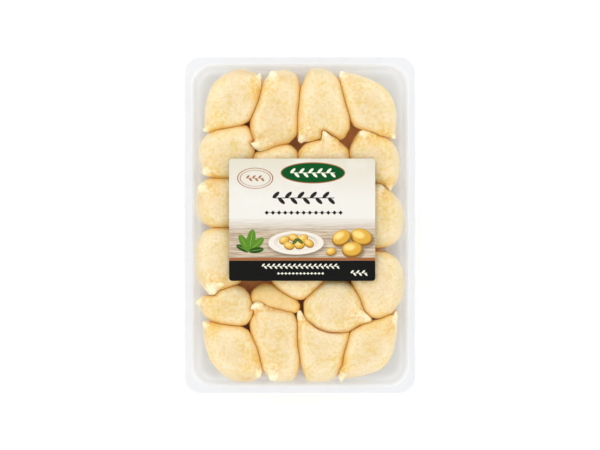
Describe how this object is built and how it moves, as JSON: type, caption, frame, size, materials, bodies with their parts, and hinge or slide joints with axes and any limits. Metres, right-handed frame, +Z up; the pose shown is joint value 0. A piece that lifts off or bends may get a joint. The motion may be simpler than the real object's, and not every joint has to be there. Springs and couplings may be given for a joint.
{
  "type": "tray pack of filled potato gnocchi",
  "caption": "Sealed clear plastic tray with one pressed layer of plump pinched filled gnocchi, under clear film with a rectangular label.",
  "frame": {"origin": "middle of the tray's footprint, on the plane that the tray stands on", "axes": "+Z up through the film, +Y along the tray's long side towards the top edge of the label, +X along its short side"},
  "size_m": [0.1516, 0.22, 0.0254],
  "materials": {
    "tray_plastic": "gloss",
    "film": "gloss",
    "label_paper": "satin",
    "dough": "matte"
  },
  "bodies": {
    "root": {"tray": "tray_plastic", "gnocco_01": "dough", "gnocco_02": "dough", "gnocco_03": "dough", "gnocco_04": "dough", "gnocco_05": "dough", "gnocco_06": "dough", "gnocco_07": "dough", "gnocco_08": "dough", "gnocco_09": "dough", "gnocco_10": "dough", "gnocco_11": "dough", "gnocco_12": "dough", "gnocco_13": "dough", "gnocco_14": "dough", "gnocco_15": "dough", "gnocco_16": "dough", "gnocco_17": "dough", "gnocco_18": "dough", "gnocco_19": "dough", "gnocco_20": "dough", "gnocco_21": "dough", "gnocco_22": "dough", "gnocco_23": "dough", "film": "film", "label": "label_paper"}
  },
  "joints": []
}
